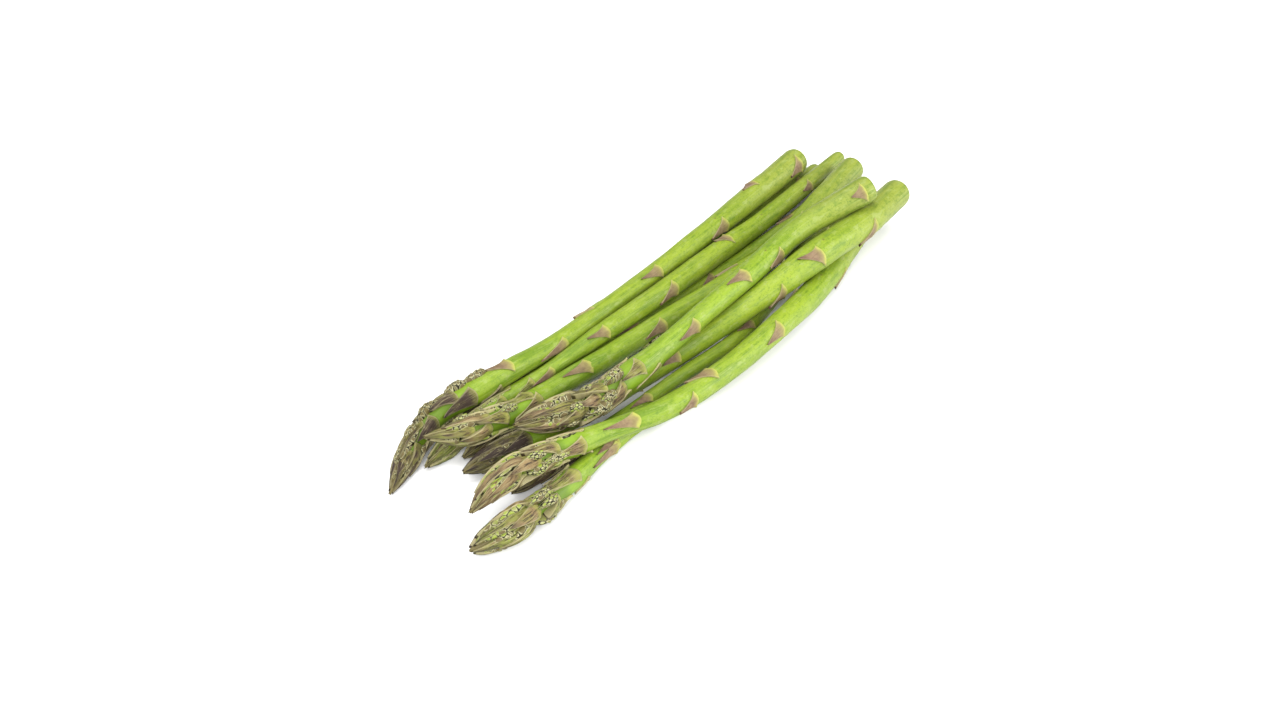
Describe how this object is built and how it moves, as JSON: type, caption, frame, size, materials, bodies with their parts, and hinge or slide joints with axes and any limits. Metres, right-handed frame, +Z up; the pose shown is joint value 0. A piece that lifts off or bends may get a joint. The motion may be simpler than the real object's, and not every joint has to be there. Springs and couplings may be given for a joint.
{
  "type": "bundle of asparagus",
  "caption": "Loose bundle of fresh green asparagus spears lying together on a level surface, scaly bud heads at one end and cut ends at the other.",
  "frame": {"origin": "on the resting surface, under the middle of the bundle's box", "axes": "+X along the spears, from the heads towards the cut ends; +Y across them; +Z up from the surface"},
  "size_m": [0.258, 0.0796, 0.0327],
  "materials": {
    "spear_skin": "satin",
    "scale_leaf": "matte",
    "bud": "matte"
  },
  "bodies": {
    "root": {"spear_1": "spear_skin", "spear_2": "spear_skin", "spear_3": "spear_skin", "spear_4": "spear_skin", "spear_5": "spear_skin", "spear_6": "spear_skin", "spear_7": "spear_skin", "spear_8": "spear_skin", "spear_9": "spear_skin", "spear_10": "spear_skin"}
  },
  "joints": []
}
